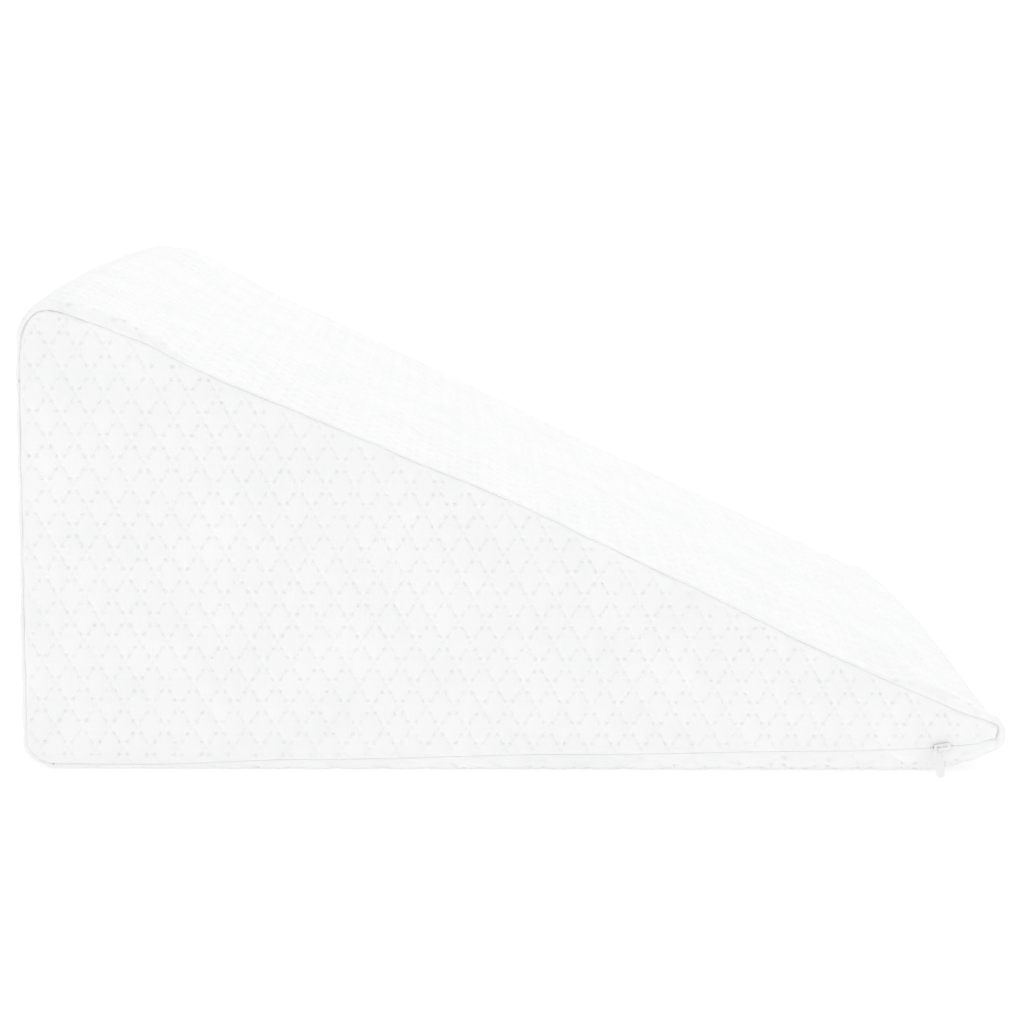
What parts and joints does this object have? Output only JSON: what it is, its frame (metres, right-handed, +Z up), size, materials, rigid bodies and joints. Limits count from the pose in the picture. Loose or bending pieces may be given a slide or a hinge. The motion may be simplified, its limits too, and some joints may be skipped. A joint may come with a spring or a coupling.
{
  "type": "leg pillow",
  "caption": "Filled wedge pillow in a quilted knit cover that raises the legs, with a tall back, a sloping top, a thin rounded nose and a concealed zip along one side.",
  "frame": {"origin": "centre of the flat base, between the two side panels and half way along the wedge", "axes": "+X along the wedge from its tall back to its thin nose, +Z up, -Y out of the side panel that has the zip at its foot"},
  "size_m": [0.6429, 0.5096, 0.3073],
  "materials": {
    "cover_knit": "white knit quilted in small diamonds, matt and soft",
    "zip_plastic": "white moulded coil on a woven tape, satin",
    "slider_paint": "white enamel on a cast slider and pull, satin"
  },
  "bodies": {
    "root": {"wedge_cushion": "cover_knit", "zip_chain": "zip_plastic", "zip_slider": "slider_paint", "zip_pull": "slider_paint"}
  },
  "joints": []
}
